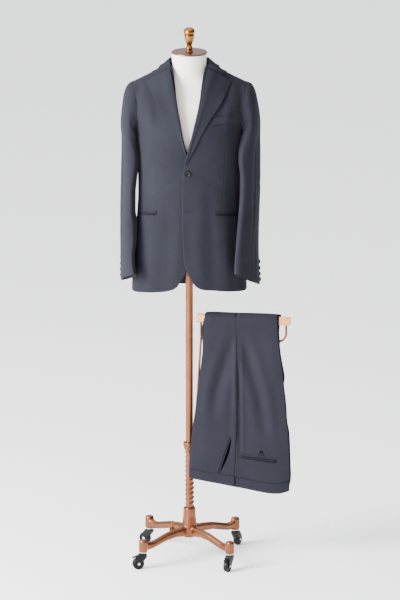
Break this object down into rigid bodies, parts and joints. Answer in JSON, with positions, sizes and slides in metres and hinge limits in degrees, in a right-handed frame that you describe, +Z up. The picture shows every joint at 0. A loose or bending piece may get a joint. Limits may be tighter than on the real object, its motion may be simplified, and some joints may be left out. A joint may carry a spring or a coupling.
{
  "type": "two-piece suit on a dress form stand",
  "caption": "Notch-lapel jacket buttoned on a limbless dress form, with matching trousers folded over the stand's wooden bar; form on a pole with a four-leg caster base.",
  "frame": {"origin": "middle of the whole object's footprint, on the floor", "axes": "+Z up the pole, -Y the way the jacket faces, +X the wearer's left, where the bar is"},
  "size_m": [0.5641, 0.3656, 1.8052],
  "materials": {
    "jacket_cloth": "fine worsted wool, slate blue-grey",
    "trouser_cloth": "fine worsted wool, slate blue-grey, darker",
    "button_black": "polished, dark navy",
    "form_cream": "stretched cotton jersey, cream",
    "bronze": "antique bronze, satin",
    "gold_bronze": "golden bronze, polished",
    "cap_bronze": "brown bronze, polished",
    "pale_wood": "pale beech, waxed",
    "caster_black": "moulded nylon, black"
  },
  "bodies": {
    "base": {"base_casting": "bronze", "column_spring": "bronze"},
    "column": {"back_pocket_button": "button_black", "back_pocket_welt_lower": "trouser_cloth", "back_pocket_welt_upper": "trouser_cloth", "belt_loop": "trouser_cloth", "breast_welt": "jacket_cloth", "column_collar": "bronze", "cuff_button_left_1": "button_black", "cuff_button_left_2": "button_black", "cuff_button_left_3": "button_black", "cuff_button_left_4": "button_black", "cuff_button_right_1": "button_black", "cuff_button_right_2": "button_black", "cuff_button_right_3": "button_black", "cuff_button_right_4": "button_black", "finial": "gold_bronze", "form_torso": "form_cream", "front_button": "button_black", "jacket_back_left": "jacket_cloth", "jacket_back_right": "jacket_cloth", "jacket_collar": "jacket_cloth", "jacket_front_left": "jacket_cloth", "jacket_front_right": "jacket_cloth", "jacket_side_left": "jacket_cloth", "jacket_side_right": "jacket_cloth", "lapel_left": "jacket_cloth", "lapel_right": "jacket_cloth", "neck_cap": "cap_bronze", "pocket_jet_lower_left": "jacket_cloth", "pocket_jet_lower_right": "jacket_cloth", "pocket_jet_upper_left": "jacket_cloth", "pocket_jet_upper_right": "jacket_cloth", "pole": "bronze", "rack_bar": "pale_wood", "rack_clamp": "bronze", "rack_rail": "bronze", "rack_strut": "bronze", "slash_pocket_edge": "trouser_cloth", "sleeve_top_left": "jacket_cloth", "sleeve_top_right": "jacket_cloth", "sleeve_under_left": "jacket_cloth", "sleeve_under_right": "jacket_cloth", "trouser_back_panel": "trouser_cloth", "trouser_front_panel": "trouser_cloth", "trouser_hidden_layers": "trouser_cloth", "trouser_waistband": "trouser_cloth"},
    "brake_FL": {"brake_lever_FL": "caster_black"},
    "brake_FR": {"brake_lever_FR": "caster_black"},
    "fork_BL": {"caster_fork_BL": "caster_black"},
    "fork_BR": {"caster_fork_BR": "caster_black"},
    "fork_FL": {"caster_fork_FL": "caster_black"},
    "fork_FR": {"caster_fork_FR": "caster_black"},
    "wheel_BL": {"caster_wheel_BL": "caster_black"},
    "wheel_BR": {"caster_wheel_BR": "caster_black"},
    "wheel_FL": {"caster_wheel_FL": "caster_black"},
    "wheel_FR": {"caster_wheel_FR": "caster_black"},
    "pedal": {"foot_pedal": "bronze"}
  },
  "joints": [
    {"name": "column_lift", "type": "slide", "parent": "base", "child": "column", "axis": [0, 0, 1], "range_m": [-0.06, 0], "deforming": ["column_spring"]},
    {"name": "caster_swivel_FL", "type": "hinge", "parent": "base", "child": "fork_FL", "pos_m": [-0.20491, -0.12739, 0.058], "axis": [0, 0, 1], "continuous": true},
    {"name": "wheel_spin_FL", "type": "hinge", "parent": "fork_FL", "child": "wheel_FL", "pos_m": [-0.22133, -0.13179, 0.02], "axis": [0.2588, -0.9659, 0], "continuous": true},
    {"name": "brake_tilt_FL", "type": "hinge", "parent": "fork_FL", "child": "brake_FL", "pos_m": [-0.22423, -0.13257, 0.0462], "axis": [0.2588, -0.9659, 0], "range_deg": [0, 8]},
    {"name": "caster_swivel_FR", "type": "hinge", "parent": "base", "child": "fork_FR", "pos_m": [0.08154, -0.14642, 0.058], "axis": [0, 0, 1], "continuous": true},
    {"name": "wheel_spin_FR", "type": "hinge", "parent": "fork_FR", "child": "wheel_FR", "pos_m": [0.07383, -0.16157, 0.02], "axis": [0.891, -0.454, 0], "continuous": true},
    {"name": "brake_tilt_FR", "type": "hinge", "parent": "fork_FR", "child": "brake_FR", "pos_m": [0.07246, -0.16424, 0.0462], "axis": [0.891, -0.454, 0], "range_deg": [0, 8]},
    {"name": "caster_swivel_BR", "type": "hinge", "parent": "base", "child": "fork_BR", "pos_m": [0.10057, 0.14003, 0.058], "axis": [0, 0, 1], "continuous": true},
    {"name": "wheel_spin_BR", "type": "hinge", "parent": "fork_BR", "child": "wheel_BR", "pos_m": [0.10907, 0.15476, 0.02], "axis": [-0.866, 0.5, 0], "continuous": true},
    {"name": "caster_swivel_BL", "type": "hinge", "parent": "base", "child": "fork_BL", "pos_m": [-0.18588, 0.15906, 0.058], "axis": [0, 0, 1], "continuous": true},
    {"name": "wheel_spin_BL", "type": "hinge", "parent": "fork_BL", "child": "wheel_BL", "pos_m": [-0.20061, 0.16756, 0.02], "axis": [-0.5, -0.866, 0], "continuous": true},
    {"name": "pedal_press", "type": "hinge", "parent": "base", "child": "pedal", "pos_m": [-0.0851, 0.00851, 0.0865], "axis": [0.0663, 0.9978, 0], "range_deg": [-10, 0], "stiffness_Nm_per_rad": 0.6, "springref_deg": 4.58}
  ]
}
